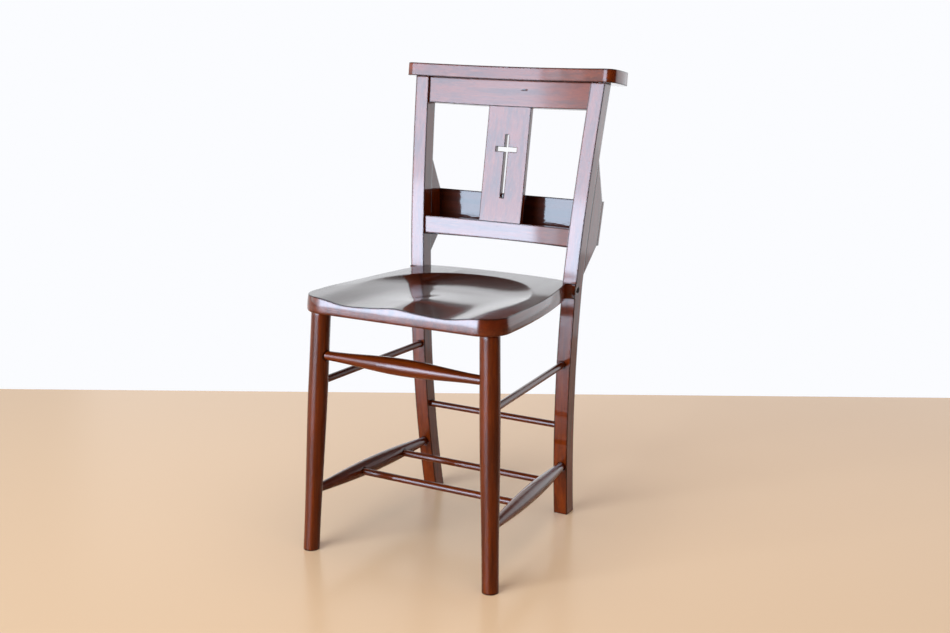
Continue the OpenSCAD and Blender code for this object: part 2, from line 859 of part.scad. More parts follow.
// What the rounded rear corner takes away
module cap_rear_corner_cut() {
    back = cap_depth - cap_rear_corner;
    reach = cap_end_radius - cap_rear_corner;
    centre = [cap_end_centre[0] + sqrt(pow(reach, 2) - pow(back - cap_end_centre[1], 2)), back];
    corner_cut(centre, cap_rear_corner, (centre - cap_end_centre) / reach, [0, 1]);
}

// Dowels that hold the cap: one in each post and three along the crest rail
module cap_dowel_set(gap) {
    free = gap > 0 ? end_gap : 0;
    underside_middle = cap_height - cap_thickness;
    post_back = post_front(underside_middle) + post_depth / 2;
    crest_back = post_front(underside_middle) + rail_setback + rail_thickness / 2;
    for (side = [-1, 1])
        cap_dowel(side * post_middle(underside_middle), post_back, gap, free);
    for (x = [-crest_half / 2, 0, crest_half / 2])
        cap_dowel(x, crest_back + bow(crest_half) - bow(abs(x)), gap, free);
}

// One dowel across the cap's underside; gap widens and free lengthens it into its hole
module cap_dowel(x, back, gap, free) {
    cap_frame()
        translate([x, (back - cap_back) / cos(cap_fall), -cap_thickness - dowel_depth - free])
            cylinder(d = dowel_diameter + 2 * gap, h = 2 * (dowel_depth + free));
}

// Side profile of the box side behind the post
module box_side_profile() {
    polygon([[post_front(box_side_foot) + post_depth / 2, box_side_foot],
        [post_front(box_side_foot) + post_depth, box_side_foot],
        [box_rear_foot_back, box_rear_bottom],
        [box_rear_back, box_rear_top],
        [post_front(box_side_top) + post_depth, box_side_top],
        [post_front(box_side_top) + post_depth / 2, box_side_top]]);
}

// The right box side, from its outer face flush with the post to its inner face
module box_side() {
    difference() {
        intersection() {
            side_slab(post_foot_width / 4, post_top_width)
                box_side_profile();
            between_posts(0);
        }
        between_posts(box_side_thickness);
        side_slab(0, far)
            post_side_profile();
        box_floor_board(glue_gap);
        box_side_dowel_set(glue_gap);
        box_panel_dowel_set(glue_gap);
    }
}

// The frame of the back panel: its front face at its lower edge
module box_panel_frame() {
    translate([0, box_rear_foot_back, box_rear_bottom])
        rotate([-box_rake, 0, 0])
            children();
}

// The back panel, over the rear edges of both box sides
module box_panel() {
    height = (box_rear_top - box_rear_bottom) / cos(box_rake);
    difference() {
        intersection() {
            box_panel_frame()
                translate([-post_top_width / 2, 0, 0])
                    cube([post_top_width, box_panel_thickness, height]);
            between_posts(0);
        }
        box_panel_dowel_set(glue_gap);
        other_side()
            box_panel_dowel_set(glue_gap);
    }
}

// The floor of the box: from the lower rail to the back panel, with its ends in the sides' grooves
module box_floor_board(gap) {
    free = gap > 0 ? end_gap : 0;
    underside = box_floor_top - box_floor_thickness - gap;
    difference() {
        intersection() {
            translate([-post_top_width / 2, post_front(lower_rail_bottom), underside])
                cube([post_top_width, far, box_floor_thickness + 2 * gap]);
            between_posts(box_side_thickness - box_groove_depth - free);
            box_panel_frame()
                translate([-far / 2, -far, -far / 2])
                    cube([far, far, far]);
        }
        rail_frame(lower_rail_bottom, lower_rail_rake)
            translate([0, rail_setback + bow(lower_rail_half) - rail_radius, -far / 2])
                cylinder(r = rail_radius + rail_thickness, h = far, $fn = large_facets);
    }
}

// Dowels between a post's rear face and the box side, and between the box side and the back panel
module box_side_dowel_set(gap) {
    free = gap > 0 ? end_gap : 0;
    depth = dowel_depth - end_gap;
    for (share = box_side_dowel_shares) {
        z = box_side_foot + (box_side_top - box_side_foot) * share;
        x = post_outer(z) - box_side_thickness / 2;
        translate([x, post_front(z) + post_depth - depth - free, z])
            rotate([-90, 0, 0])
                cylinder(d = dowel_diameter + 2 * gap, h = 2 * (depth + free));
    }
}

// Dowels between the box sides and the back panel; gap widens them into their holes
module box_panel_dowel_set(gap) {
    side_depth = dowel_depth + (gap > 0 ? end_gap : 0);
    panel_depth = box_panel_thickness * box_panel_dowel_depth_share + gap;
    for (share = box_panel_dowel_shares) {
        z = (box_rear_top - box_rear_bottom) * share;
        x = post_outer(box_rear_bottom + z) - box_side_thickness / 2;
        box_panel_frame()
            translate([x, -side_depth, z])
                rotate([-90, 0, 0])
                    cylinder(d = dowel_diameter + 2 * gap, h = side_depth + panel_depth);
    }
}

// Seat board with sockets for the legs and holes for the screws
module seat() {
    color(wood_color)
        place()
            difference() {
                seat_board();
                post_room();
                other_side()
                    post_room();
                leg_tenon_holes();
                other_side()
                    leg_tenon_holes();
                screw(glue_gap);
                other_side()
                    screw(glue_gap);
            }
}

// Front leg on the viewer's right
module front_leg_right() {
    color(wood_color)
        place()
            leg_body();
}

// Front leg on the viewer's left
module front_leg_left() {
    color(wood_color)
        place()
            other_side()
                leg_body();
}

// Rear post on the viewer's right
module rear_post_right() {
    color(wood_color)
        place()
            post_cut();
}

// Rear post on the viewer's left
module rear_post_left() {
    color(wood_color)
        place()
            other_side()
                post_cut();
}

// Board on top of the back
module top_cap() {
    color(wood_color)
        place()
            difference() {
                cap_frame()
                    translate([0, 0, -cap_thickness])
                        linear_extrude(height = cap_thickness)
                            cap_outline();
                cap_dowel_set(glue_gap);
            }
}

// Upper curved rail of the back
module crest_rail() {
    color(wood_color)
        place()
            difference() {
                union() {
                    rail(crest_bottom, crest_rake, crest_half, crest_face);
                    crest_tenons(0);
                }
                above_cap_underside();
                cap_dowel_set(glue_gap);
            }
}

// Splat with the cross cut through it
module splat() {
    color(wood_color)
        place()
            difference() {
                splat_board(0);
                cross_cut();
            }
}

// Lower curved rail of the back
module lower_back_rail() {
    color(wood_color)
        place()
            union() {
                rail(lower_rail_bottom, lower_rail_rake, lower_rail_half, lower_rail_face);
                lower_rail_tenons(0);
            }
}

// Box side behind the right post
module box_side_right() {
    color(wood_color)
        place()
            box_side();
}

// Box side behind the left post
module box_side_left() {
    color(wood_color)
        place()
            other_side()
                box_side();
}

// Panel that closes the book box at the rear
module box_back_panel() {
    color(wood_color)
        place()
            box_panel();
}

// Floor of the book box, in grooves of its sides
module box_floor() {
    color(wood_color)
        place()
            difference() {
                box_floor_board(0);
                post_blank();
                other_side()
                    post_blank();
            }
}

// Stretcher between the front legs
module front_stretcher() {
    half = front_stretcher_right[0] - leg_swell_diameter / 2 + leg_socket_depth;
    color(wood_color)
        place()
            translate([-half, front_stretcher_right[1], front_stretcher_right[2]])
                rotate([0, 90, 0])
                    swelled_rod(2 * half, leg_socket_depth, leg_socket_depth, front_stretcher_end,
                        front_stretcher_swell, front_stretcher_fullness);
}

// Upper stretcher from leg to post, right
module upper_side_stretcher_right() {
    color(wood_color)
        place()
            side_rod(upper_side_front, upper_side_rear, upper_side_diameter, upper_side_diameter, 0);
}

// Upper stretcher from leg to post, left
module upper_side_stretcher_left() {
    color(wood_color)
        place()
            other_side()
                side_rod(upper_side_front, upper_side_rear, upper_side_diameter, upper_side_diameter, 0);
}

// Lower stretcher from leg to post, right
module lower_side_stretcher_right() {
    color(wood_color)
        place()
            lower_side();
}

// Lower stretcher from leg to post, left
module lower_side_stretcher_left() {
    color(wood_color)
        place()
            other_side()
                lower_side();
}

// Cross stretcher nearer to the front
module cross_stretcher_front() {
    color(wood_color)
        place()
            cross_rod(cross_front_share);
}

// Cross stretcher nearer to the rear
module cross_stretcher_rear() {
    color(wood_color)
        place()
            cross_rod(cross_rear_share);
}

// Stretcher between the rear posts
module rear_stretcher() {
    half = rear_stretcher_right[0] + post_socket_depth;
    color(wood_color)
        place()
            translate([-half, rear_stretcher_right[1], rear_stretcher_right[2]])
                rotate([0, 90, 0])
                    cylinder(d = rear_stretcher_diameter, h = 2 * half);
}

// Both screws through the posts into the seat
module seat_screws() {
    color(steel_color)
        place() {
            screw(0);
            other_side()
                screw(0);
        }
}

// Both plugs over the screws' heads
module seat_screw_plugs() {
    color(plug_color)
        place() {
            screw_plug(0);
            other_side()
                screw_plug(0);
        }
}

// Dowels under the cap
module cap_dowels() {
    color(wood_color)
        place()
            cap_dowel_set(0);
}

// Dowels of the book box
module box_dowels() {
    color(wood_color)
        place() {
            box_side_dowel_set(0);
            box_panel_dowel_set(0);
            other_side() {
                box_side_dowel_set(0);
                box_panel_dowel_set(0);
            }
        }
}

seat();
front_leg_left();
front_leg_right();
rear_post_left();
rear_post_right();
top_cap();
crest_rail();
splat();
lower_back_rail();
box_side_left();
box_side_right();
box_back_panel();
box_floor();
front_stretcher();
upper_side_stretcher_left();
upper_side_stretcher_right();
lower_side_stretcher_left();
lower_side_stretcher_right();
cross_stretcher_front();
cross_stretcher_rear();
rear_stretcher();
seat_screws();
seat_screw_plugs();
cap_dowels();
box_dowels();
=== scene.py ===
"""Choir chair in stained and lacquered wood: finishes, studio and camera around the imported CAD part."""

from __future__ import annotations

import logging
import math
from dataclasses import dataclass, replace
from enum import Enum

import bmesh
import bpy
from mathutils import Matrix, Vector

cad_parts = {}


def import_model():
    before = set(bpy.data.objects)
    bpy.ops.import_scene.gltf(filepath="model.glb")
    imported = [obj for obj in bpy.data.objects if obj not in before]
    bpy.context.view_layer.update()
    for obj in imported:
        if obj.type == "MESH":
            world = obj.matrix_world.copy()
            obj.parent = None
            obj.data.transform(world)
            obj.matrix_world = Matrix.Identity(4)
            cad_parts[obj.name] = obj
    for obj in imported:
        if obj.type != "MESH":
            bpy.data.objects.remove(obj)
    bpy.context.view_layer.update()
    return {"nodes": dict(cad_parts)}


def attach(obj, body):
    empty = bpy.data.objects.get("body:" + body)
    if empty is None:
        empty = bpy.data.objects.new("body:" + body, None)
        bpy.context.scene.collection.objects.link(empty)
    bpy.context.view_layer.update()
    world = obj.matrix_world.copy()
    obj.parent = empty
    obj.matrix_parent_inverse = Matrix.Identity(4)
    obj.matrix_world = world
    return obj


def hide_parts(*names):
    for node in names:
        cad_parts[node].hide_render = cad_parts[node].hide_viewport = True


log = logging.getLogger("choir_chair")

MM = 0.001
# How a piece's shift moves its patterns along the three axes
SHIFT_WAY = (1.0, 1.7, 2.3)
# Watts for each square metre of an area lamp at which it looks as bright as white
WATTS_OF_WHITE = 4
# Linear colours of the light
WINDOW_LIGHT = (0.62, 0.79, 1.0)
PALE_WALL_LIGHT = (0.85, 0.92, 1.0)
WARM_LIGHT = (1.0, 0.96, 0.90)
WHITE_WALL_LIGHT = (0.92, 0.96, 1.0)


class Grain(Enum):
    """The direction in which the wood's grain runs in a piece."""

    ACROSS = 0
    FORE_AND_AFT = 1
    UPRIGHT = 2


class Reach(Enum):
    """What a lamp's light reaches: everything, only mirrors in the chair's lacquer, or all but mirrors."""

    EVERYTHING = 0
    LACQUER = 1
    UNMIRRORED = 2


def linear(hex_colour: str) -> tuple[float, float, float, float]:
    """Turns an sRGB hex colour to linear light.

    Args:
        hex_colour: the colour as "#rrggbb".

    Returns:
        Red, green, blue and an alpha of 1, linear.
    """
    parts = [int(hex_colour[i : i + 2], 16) / 255 for i in (1, 3, 5)]
    light = [c / 12.92 if c <= 0.04045 else ((c + 0.055) / 1.055) ** 2.4 for c in parts]
    return (light[0], light[1], light[2], 1.0)


def add_node(tree: bpy.types.NodeTree, kind: str, settings: dict | None = None,
             inputs: dict | None = None) -> bpy.types.Node:
    """Adds a node with its settings, values and links.

    Args:
        tree: the node tree that gets the node.
        kind: the node's type name.
        settings: properties of the node by name.
        inputs: values or output sockets by the input's name or number.

    Returns:
        The new node.
    """
    node = tree.nodes.new(kind)
    for name, value in (settings or {}).items():
        setattr(node, name, value)
    for name, value in (inputs or {}).items():
        if isinstance(value, bpy.types.NodeSocket):
            tree.links.new(value, node.inputs[name])
        else:
            node.inputs[name].default_value = value
    return node


@dataclass(frozen=True)
class Pattern:
    """A noise pattern's size across and along the grain, in metres, and the detail of its noise."""

    width: float
    length: float
    detail: int


@dataclass(frozen=True)
class Span:
    """A range of a pattern's values and the range that it is mapped onto."""

    low: float
    high: float
    to_low: float = 0.0
    to_high: float = 1.0

    def over(self, tree: bpy.types.NodeTree, value: bpy.types.NodeSocket,
             easing: str = "SMOOTHSTEP") -> bpy.types.NodeSocket:
        """Maps a pattern's values.

        Args:
            tree: the node tree that gets the node.
            value: the socket with the pattern.
            easing: how the node eases the ends of the range.

        Returns:
            The socket with the mapped values.
        """
        return add_node(tree, "ShaderNodeMapRange", {"interpolation_type": easing}, {
            "Value": value, "From Min": self.low, "From Max": self.high, "To Min": self.to_low,
            "To Max": self.to_high}).outputs["Result"]


def new_tree(name: str) -> tuple[bpy.types.Material, bpy.types.NodeTree]:
    """Makes a material with an empty node tree.

    Args:
        name: the material's name.

    Returns:
        The material and its node tree.
    """
    material = bpy.data.materials.new(name)
    material.use_nodes = True
    material.node_tree.nodes.clear()
    return material, material.node_tree


def blend(tree: bpy.types.NodeTree, share: bpy.types.NodeSocket, first: object,
          second: object) -> bpy.types.NodeSocket:
    """Mixes two colours by a share from 0 to 1."""
    mix = add_node(tree, "ShaderNodeMix", {"data_type": "RGBA"}, {0: share, 6: first, 7: second})
    return mix.outputs[2]


def object_place(tree: bpy.types.NodeTree) -> bpy.types.NodeSocket:
    """Gives each point's place in the chair's frame."""
    return add_node(tree, "ShaderNodeTexCoord").outputs["Object"]


def output(tree: bpy.types.NodeTree, surface: bpy.types.NodeSocket) -> None:
    """Ends a material's node tree with its surface."""
    add_node(tree, "ShaderNodeOutputMaterial", inputs={"Surface": surface})


@dataclass(frozen=True)
class LacqueredMahoganyStain:
    """Close-grained hardwood, stained to mahogany, then sprayed with clear gloss lacquer and polished.

    The eye gets a deep, even red-brown with faint long streaks and small pores under a clear film, whose
    slight waves bend what it mirrors. The arrises are sanded round; stain gathers darker along them, and
    they are painted darker still as painted shade for the dark room that they mirror. On some pieces,
    faces that look one way are painted darker as painted shade.
    """

    deep: str = "#320d02"
    body: str = "#692402"
    bright: str = "#883c08"
    # Colour of the pores and the knot, and also of the painted shade on faces that look the shaded way
    pore_and_shade: str = "#160502"
    # Stain gathered along the arrises, plus painted shade for the dark room that the rounded arrises mirror
    arris_stain_and_shade: str = "#120402"
    streaks: Pattern = Pattern(11 * MM, 190 * MM, 3)
    # Real grain lines are about 0.5 mm wide and pores finer: here they are coarser, or no render shows them
    lines: Pattern = Pattern(2.2 * MM, 80 * MM, 4)
    pores: Pattern = Pattern(1.4 * MM, 12 * MM, 1)
    waves: Pattern = Pattern(32 * MM, 96 * MM, 1)
    # How a pattern's values turn to a colour's share
    streak_share: Span = Span(0.28, 0.66, 0.35, 1.0)
    bright_share: Span = Span(0.50, 0.78, 0.0, 0.34)
    dark_share: Span = Span(0.46, 0.28, 0.0, 0.3)
    pore_share: Span = Span(0.34, 0.24, 0.0, 0.5)
    arris_radius: float = 4.2 * MM
    # Cosines between the rounded and the flat normal, from a face to its arris
    arris_cosines: tuple[float, float] = (0.995, 0.92)
    # Faces that look this way are painted darker as painted shade, by this share, within these cosines
    shaded_way: tuple[float, float, float] = (0.0, 0.0, 1.0)
    shaded_cosines: tuple[float, float] = (0.80, 0.96)
    facing_shade: float = 0.0
    # Strength and height of the film's waves, and height of the fibres that show in it
    film_wave: float = 0.26
    film_wave_height: float = 0.6 * MM
    fibre_height: float = 0.15 * MM
    fibre_sheen: Span = Span(0.3, 0.7, 0.46, 0.36)
    film_roughness: float = 0.085
    # Clear lacquer has about 1.5: this matches how strongly the chair's film mirrors
    film_ior: float = 1.42
    # The middle of a knot, across and up, and its half width and half height
    knot: tuple[float, float] | None = None
    knot_size: tuple[float, float] = (6 * MM, 1.6 * MM)
    knot_share: Span = Span(1.25, 0.55, 0.0, 0.95)
    # The film's height over the knot, as a multiple of its waves
    knot_dent: float = -4.0

    def noise(self, tree: bpy.types.NodeTree, pattern: Pattern, grain: Grain,
              shift: float) -> bpy.types.NodeSocket:
        """Adds a noise pattern that runs along the grain.

        Args:
            tree: the material's node tree.
            pattern: the pattern's size and detail.
            grain: the direction of the grain.
            shift: moves the pattern, so that no two pieces share it.

        Returns:
            The socket with the pattern's strength.
        """
        scale = [1 / pattern.width] * 3
        scale[grain.value] = 1 / pattern.length
        mapping = add_node(tree, "ShaderNodeMapping", inputs={
            "Vector": object_place(tree), "Scale": scale, "Location": [shift * part for part in SHIFT_WAY]})
        return add_node(tree, "ShaderNodeTexNoise", inputs={
            "Vector": mapping.outputs["Vector"], "Scale": 1.0, "Detail": pattern.detail,
            "Roughness": 0.55}).outputs["Fac"]

    def stained(self, tree: bpy.types.NodeTree, streaks: bpy.types.NodeSocket, lines: bpy.types.NodeSocket,
                pores: bpy.types.NodeSocket) -> bpy.types.NodeSocket:
        """Gives the stained wood's colour.

        Args:
            tree: the material's node tree.
            streaks: the pattern of the broad streaks.
            lines: the pattern of the grain lines.
            pores: the pattern of the pores.

        Returns:
            The socket with the colour.
        """
        colour = blend(tree, self.streak_share.over(tree, streaks), linear(self.deep), linear(self.body))
        colour = blend(tree, self.bright_share.over(tree, lines), colour, linear(self.bright))
        colour = blend(tree, self.dark_share.over(tree, lines), colour, linear(self.deep))
        return blend(tree, self.pore_share.over(tree, pores), colour, linear(self.pore_and_shade))

    def knot_shape(self, tree: bpy.types.NodeTree) -> bpy.types.NodeSocket:
        """Gives the share of the knot at each place: 1 inside its oval, 0 away from it."""
        (across, up), (wide, high) = self.knot, self.knot_size
        from_knot = add_node(tree, "ShaderNodeMapping", {"vector_type": "TEXTURE"}, {
            "Vector": object_place(tree), "Location": (across, 0.0, up), "Scale": (wide, 1.0, high)})
        reach = add_node(tree, "ShaderNodeVectorMath", {"operation": "LENGTH"}, {
            0: from_knot.outputs["Vector"]})
        return self.knot_share.over(tree, reach.outputs["Value"])

    def cosine(self, tree: bpy.types.NodeTree, normal: object) -> bpy.types.NodeSocket:
        """Gives the cosine between the surface's own normal and another direction."""
        own = add_node(tree, "ShaderNodeNewGeometry").outputs["Normal"]
        product = add_node(tree, "ShaderNodeVectorMath", {"operation": "DOT_PRODUCT"}, {0: own, 1: normal})
        return product.outputs["Value"]

    def build(self, name: str, grain: Grain, shift: float) -> bpy.types.Material:
        """Makes the material for one piece.

        Args:
            name: the material's name.
            grain: the direction of the grain.
            shift: moves the pattern, so that no two pieces share it.

        Returns:
            The finished material.
        """
        material, tree = new_tree(name)
        streaks, lines, pores, waves = (
            self.noise(tree, pattern, grain, shift)
            for pattern in (self.streaks, self.lines, self.pores, self.waves))
        colour = self.stained(tree, streaks, lines, pores)
        film_height = waves
        if self.knot:
            knot = self.knot_shape(tree)
            colour = blend(tree, knot, colour, linear(self.pore_and_shade))
            film_height = add_node(tree, "ShaderNodeMath", {"operation": "MULTIPLY_ADD"}, {
                0: knot, 1: self.knot_dent, 2: waves}).outputs[0]
        # Painted shade: faces that look the shaded way are darkened towards the pore colour
        if self.facing_shade:
            facing = self.cosine(tree, self.shaded_way)
            share = Span(*self.shaded_cosines, to_high=self.facing_shade).over(tree, facing)
            colour = blend(tree, share, colour, linear(self.pore_and_shade))
        bevel = add_node(tree, "ShaderNodeBevel", {"samples": 6}, {"Radius": self.arris_radius})
        rounded = bevel.outputs["Normal"]
        # Darkens the arrises: gathered stain plus painted shade for the dark room that they mirror
        arris_stain_and_shade = Span(*self.arris_cosines).over(tree, self.cosine(tree, rounded))
        colour = blend(tree, arris_stain_and_shade, colour, linear(self.arris_stain_and_shade))

        film = add_node(tree, "ShaderNodeBump", inputs={
            "Strength": self.film_wave, "Distance": self.film_wave_height, "Height": film_height,
            "Normal": rounded})
        fibre = add_node(tree, "ShaderNodeBump", inputs={
            "Strength": 0.12, "Distance": self.fibre_height, "Height": lines,
            "Normal": film.outputs["Normal"]})
        surface = add_node(tree, "ShaderNodeBsdfPrincipled", inputs={
            "Base Color": colour, "Roughness": self.fibre_sheen.over(tree, lines), "IOR": 1.5,
            "Specular IOR Level": 0.04, "Normal": fibre.outputs["Normal"], "Coat Weight": 1.0,
            "Coat Roughness": self.film_roughness, "Coat IOR": self.film_ior,
            "Coat Normal": film.outputs["Normal"]})
        output(tree, surface.outputs["BSDF"])
        return material


@dataclass(frozen=True)
class BlackPlug:
    """Turned plug of black-stained wood without lacquer: near black and dull."""

    stain: str = "#14100f"
    fibre: str = "#241a17"
    grain_width: float = 1.2 * MM
    fibre_height: float = 0.1 * MM

    def build(self, name: str) -> bpy.types.Material:
        """Makes the material under the given name."""
        material, tree = new_tree(name)
        grain = add_node(tree, "ShaderNodeTexNoise", inputs={
            "Vector": object_place(tree), "Scale": 1 / self.grain_width, "Detail": 2.0}).outputs["Fac"]
        bump = add_node(tree, "ShaderNodeBump", inputs={
            "Strength": 0.2, "Distance": self.fibre_height, "Height": grain})
        surface = add_node(tree, "ShaderNodeBsdfPrincipled", inputs={
            "Base Color": blend(tree, grain, linear(self.stain), linear(self.fibre)), "Roughness": 0.75,
            "Specular IOR Level": 0.1, "Normal": bump.outputs["Normal"]})
        output(tree, surface.outputs["BSDF"])
        return material


@dataclass(frozen=True)
class BareBeech:
    """Turned beech dowel without lacquer: pale pinkish brown with short dark flecks and a matt surface."""

    body: str = "#c79a6c"
    fleck: str = "#9c6a40"
    fleck_width: float = 1.0 * MM
    fleck_length: float = 4.0 * MM
    fleck_height: float = 0.1 * MM
    fleck_share: Span = Span(0.55, 0.7)

    def build(self, name: str, grain: Grain) -> bpy.types.Material:
        """Makes the material under the given name, with its flecks along the grain."""
        material, tree = new_tree(name)
        scale = [1 / self.fleck_width] * 3
        scale[grain.value] = 1 / self.fleck_length
        mapping = add_node(tree, "ShaderNodeMapping", inputs={"Vector": object_place(tree), "Scale": scale})
        flecks = add_node(tree, "ShaderNodeTexNoise", inputs={
            "Vector": mapping.outputs["Vector"], "Scale": 1.0, "Detail": 2.0}).outputs["Fac"]
        share = self.fleck_share.over(tree, flecks, easing="LINEAR")
        bump = add_node(tree, "ShaderNodeBump", inputs={
            "Strength": 0.3, "Distance": self.fleck_height, "Height": flecks})
        surface = add_node(tree, "ShaderNodeBsdfPrincipled", inputs={
            "Base Color": blend(tree, share, linear(self.body), linear(self.fleck)), "Roughness": 0.62,
            "Normal": bump.outputs["Normal"]})
        output(tree, surface.outputs["BSDF"])
        return material


@dataclass(frozen=True)
class ZincPlatedSteel:
    """Rolled steel screw with bright zinc plating: bluish grey metal, slightly clouded, with a soft gloss."""

    plating: str = "#b9bec4"
    cloud: str = "#8f959c"
    cloud_size: float = 2.0 * MM
    cloud_height: float = 0.05 * MM
    cloud_gloss: Span = Span(0.0, 1.0, 0.24, 0.42)

    def build(self, name: str) -> bpy.types.Material:
        """Makes the material under the given name."""
        material, tree = new_tree(name)
        clouds = add_node(tree, "ShaderNodeTexNoise", inputs={
            "Vector": object_place(tree), "Scale": 1 / self.cloud_size, "Detail": 3.0}).outputs["Fac"]
        bump = add_node(tree, "ShaderNodeBump", inputs={
            "Strength": 0.15, "Distance": self.cloud_height, "Height": clouds})
        surface = add_node(tree, "ShaderNodeBsdfPrincipled", inputs={
            "Base Color": blend(tree, clouds, linear(self.plating), linear(self.cloud)), "Metallic": 1.0,
            "Roughness": self.cloud_gloss.over(tree, clouds, easing="LINEAR"),
            "Normal": bump.outputs["Normal"]})
        output(tree, surface.outputs["BSDF"])
        return material


def dress(node: bpy.types.Object, material: bpy.types.Material) -> None:
    """Gives a CAD node one material in all its slots.

    Args:
        node: the CAD node's object.
        material: the material that it gets.
    """
    if not node.data.materials:
        node.data.materials.append(material)
    for number in range(len(node.data.materials)):
        node.data.materials[number] = material
    log.info("dressed %s with %s", node.name, material.name)


@dataclass
class WoodenPieces:
    """A sub-assembly whose CAD nodes keep their shape and get wood with its grain along each piece."""

    name: str
    grains: dict[str, Grain]
    finish: LacqueredMahoganyStain
    first_shift: float
    shift_step: float = 3.1

    def build(self, nodes: dict[str, bpy.types.Object]) -> None:
        """Dresses each piece of the sub-assembly.

        Args:
            nodes: the CAD nodes by name.
        """
        for number, (piece, grain) in enumerate(self.grains.items()):
            material = self.finish.build(f"gloss_lacquered_stained_wood_{piece}", grain,
                                         self.first_shift + self.shift_step * number)
            dress(nodes[piece], material)
        log.info("%s: %d pieces", self.name, len(self.grains))


@dataclass
class SaddledSeat:
    """The seat board: a crowned edge all round and one smooth hollow, crisp only along its rear rim.

    Places on it are given as across, back and up: from its middle, behind its front edge and above its top
    plane.
    """

    finish: LacqueredMahoganyStain
    grain_shift: float = 0.4
    # The board's front edge and top in the chair's frame, and the angle at which it falls to the rear
    front: float = -233.462 * MM
    height: float = 452 * MM
    fall: float = math.radians(0.9)
    half_width: float = 187 * MM
    depth: float = 365 * MM
    thickness: float = 28 * MM
    corner_radius: float = 45 * MM
    side_radius: float = 1250 * MM
    rear_radius: float = 900 * MM
    # The flare at the rear, by which the sides widen to the posts
    flare_radius: float = 10 * MM
    flare_back: float = 326.33 * MM
    flare_end: float = 2.5 * MM
    # The posts' front faces lie on a circle round this place, given as back and up
    post_radius: float = 1722 * MM
    post_middle: tuple[float, float] = (1823.038 * MM, 310 * MM)
    # The posts' inner faces: across and up at one place, how far they lean out, and the posts' width
    post_inner: tuple[float, float] = (141.12 * MM, 418.5 * MM)
    post_lean: float = 0.0389
    post_width: float = 26.85 * MM
    fit: float = 0.05 * MM
    # The edge is fullest at this level and stands back by the crown at the top
    crown_level: float = -24 * MM
    edge_crown: float = 2.4 * MM
    lower_arris: float = 3.0 * MM
    # The front edge's wave: the depth of each thigh hollow, its middle, its end, and the hump between them
    thigh_depth: float = 7.2 * MM
    thigh_depth_left: float = 7.9 * MM
    thigh_offset: float = 88 * MM
    thigh_reach: float = 158 * MM
    hump_rise: float = 6.3 * MM
    hump_round: float = 6 * MM
    hump_power: float = 1.6
    # Between these distances behind the front edge the wave runs over into the bowl
    run_start: float = 60 * MM
    run_end: float = 205 * MM
    bowl_depth: float = 10.4 * MM
    # Metres behind the front edge, and the slope of the bowl's middle there, downwards to the rear
    slopes: tuple[tuple[float, float], ...] = ((0.232, 0.0), (0.256, -0.066), (0.317, -0.25), (0.45, -0.25))
    # How the rear rim bends forward to the sides, and how the flanks rise
    rim_curve: float = 2.8
    flank_reach: float = 150 * MM
    flank_rise: float = 9.4 * MM
    flank_power: float = 3.5
    # The border beside the hollow rolls down to the board's edge
    crest_offset: float = 124 * MM
    crest_depth: float = 0.4 * MM
    crest_power: int = 8
    roll_width: float = 63 * MM
    roll_depth: float = 2.3 * MM
    # Millimetres of depth over which the hollow eases into the border: at its rim, and how much more in front
    rim_ease: float = 0.05
    front_ease: float = 0.55
    # Depth, in such eases, from which the easing no longer counts, and how far it would lift the border
    ease_limit: float = 30
    ease_lift: float = 0.02 * MM
    # The leg sockets' and screw holes' places on the right side
    socket_place: tuple[float, float, float] = (158.941 * MM, -203.728 * MM, 409.549 * MM)
    socket_way: tuple[float, float, float] = (-0.03865, 0.04761, 0.99812)
    socket_radius: float = 11.1 * MM
    socket_length: float = 33.6 * MM
    screw_hole: tuple[float, float, float] = (127.2 * MM, 114.418 * MM, 432.745 * MM)
    screw_hole_radius: float = 2.6 * MM
    screw_hole_length: float = 29.4 * MM
    # The cutter's grid: its size, how far it starts before the front edge, and its step
    grid_size: tuple[float, float] = (0.40, 0.39)
    grid_lead: float = 0.01
    grid_step: float = 4 * MM
    # Steps along the outline's stretches, and up the lower arris and the edge
    front_steps: int = 20
    corner_steps: int = 32
    side_steps: int = 36
    flare_steps: int = 10
    rear_steps: int = 20
    arris_steps: int = 5
    edge_steps: int = 9
    # The angle from which an edge between two faces of the top is crisp, and how far such faces' normals rise
    top_crease: float = math.radians(4.5)
    top_normal: float = 0.9
    # The angle from which every other edge is crisp
    edge_crease: float = math.radians(32)

    def at(self, across: float, back: float, up: float) -> Vector:
        """Turns a place on the board to the chair's frame."""
        cosine, sine = math.cos(self.fall), math.sin(self.fall)
        return Vector((across, self.front + back * cosine + up * sine,
                       self.height - back * sine + up * cosine))

    def bowl(self, back: float) -> float:
        """Gives the bowl's depth in its middle.

        Args:
            back: distance behind the front edge.

        Returns:
            The depth under the top plane, from the slopes added up.
        """
        depth = self.bowl_depth
        for (near, near_slope), (far, far_slope) in zip(self.slopes, self.slopes[1:]):
            part = min(max(back - near, 0.0), far - near)
            depth += part * (near_slope + (far_slope - near_slope) * part / (far - near) / 2)
        return depth

    def front_line(self, across: float) -> float:
        """Gives the depth of the front edge's wave: two thigh hollows with a hump between them.

        Args:
            across: distance from the middle.

        Returns:
            The depth under the top plane.
        """
        aside = math.hypot(across, self.hump_round)
        depth = self.thigh_depth if across > 0 else self.thigh_depth_left
        if aside < self.thigh_offset:
            towards_hump = (1 - aside / self.thigh_offset) ** self.hump_power
            return depth - (depth - self.thigh_depth + self.hump_rise) * towards_hump
        share = min((aside - self.thigh_offset) / (self.thigh_reach - self.thigh_offset), 1.0)
        return depth * (1 + math.cos(math.pi * share)) / 2

